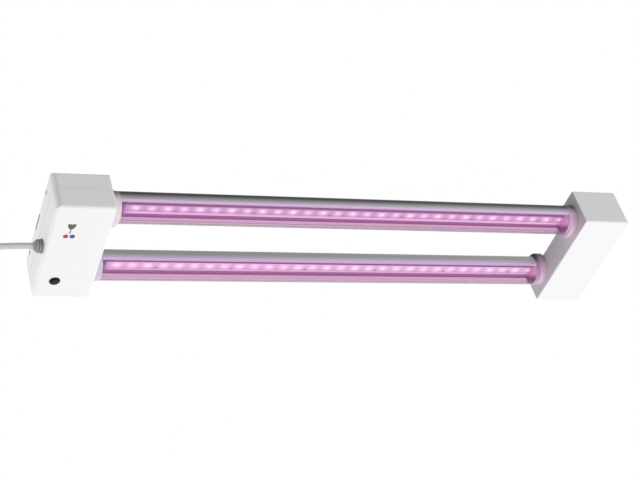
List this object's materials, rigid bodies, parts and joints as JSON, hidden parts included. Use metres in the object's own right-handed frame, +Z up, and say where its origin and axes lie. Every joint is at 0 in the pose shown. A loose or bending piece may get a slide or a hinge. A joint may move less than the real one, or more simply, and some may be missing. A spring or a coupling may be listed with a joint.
{
  "type": "twin-tube led grow light",
  "caption": "Hanging plant light: parallel LED tubes in clear covers held between two white end caps, with a push button and a power cord on one cap.",
  "frame": {"origin": "centre of the four hanging eyes, in the plane of the back", "axes": "+Z up, out of the back that hangs from above, so the LEDs face -Z; +X along the tubes, away from the corded cap; the cord leaves towards -X"},
  "size_m": [0.7148, 0.1276, 0.249],
  "materials": {
    "white_shell": "satin",
    "white_collar": "satin",
    "aluminium_channel": "satin",
    "clear_cover": "clear",
    "led_board": "matte",
    "bright_led": "glowing",
    "deep_led": "glowing",
    "black_plastic": "satin",
    "dark_component": "matte",
    "circuit_board": "satin",
    "transformer": "matte",
    "capacitor": "satin",
    "fuse": "matte",
    "steel": "satin",
    "grey_rubber": "matte",
    "wire_black": "satin",
    "wire_white": "satin",
    "cord_jacket": "satin",
    "tie_strap": "matte",
    "plug_plastic": "satin",
    "brass": "satin",
    "printed_ink": "matte"
  },
  "bodies": {
    "fixture": {"cord_cap_led_shell": "white_shell", "cord_cap_back_shell": "white_shell", "end_cap_led_shell": "white_shell", "end_cap_back_shell": "white_shell", "near_cord_collar": "white_collar", "far_cord_collar": "white_collar", "near_end_collar": "white_collar", "far_end_collar": "white_collar", "near_cord_end_plug": "white_collar", "far_cord_end_plug": "white_collar", "near_end_end_plug": "white_collar", "far_end_end_plug": "white_collar", "near_channel": "aluminium_channel", "far_channel": "aluminium_channel", "near_cover": "clear_cover", "far_cover": "clear_cover", "near_led_board": "led_board", "far_led_board": "led_board", "near_bright_leds": "bright_led", "far_bright_leds": "bright_led", "near_deep_leds": "deep_led", "far_deep_leds": "deep_led", "near_resistors": "black_plastic", "far_resistors": "black_plastic", "button_bezel": "black_plastic", "switch_body": "dark_component", "switch_terminals": "steel", "driver_board": "circuit_board", "driver_transformer": "transformer", "driver_capacitors": "capacitor", "driver_rectifier": "dark_component", "driver_fuse": "fuse", "driver_screws": "steel", "cord_cap_screws": "steel", "end_cap_screws": "steel", "strain_relief": "grey_rubber", "cord_clamp": "white_collar", "clamp_screws": "steel", "supply_wires": "wire_black", "near_jumper_wires": "wire_white", "far_jumper_wires": "wire_white", "cord_run": "cord_jacket", "cord_coil": "cord_jacket", "cord_tail": "cord_jacket", "cord_tie": "tie_strap", "plug_body": "plug_plastic", "plug_blades": "brass", "plug_ground_pin": "brass", "printed_mark": "printed_ink"},
    "button": {"power_button": "black_plastic"}
  },
  "joints": [
    {"name": "button_press", "type": "slide", "parent": "fixture", "child": "button", "axis": [0, 0, 1], "range_m": [0, 0.0016], "stiffness_N_per_m": 300, "springref_m": -0.002}
  ]
}
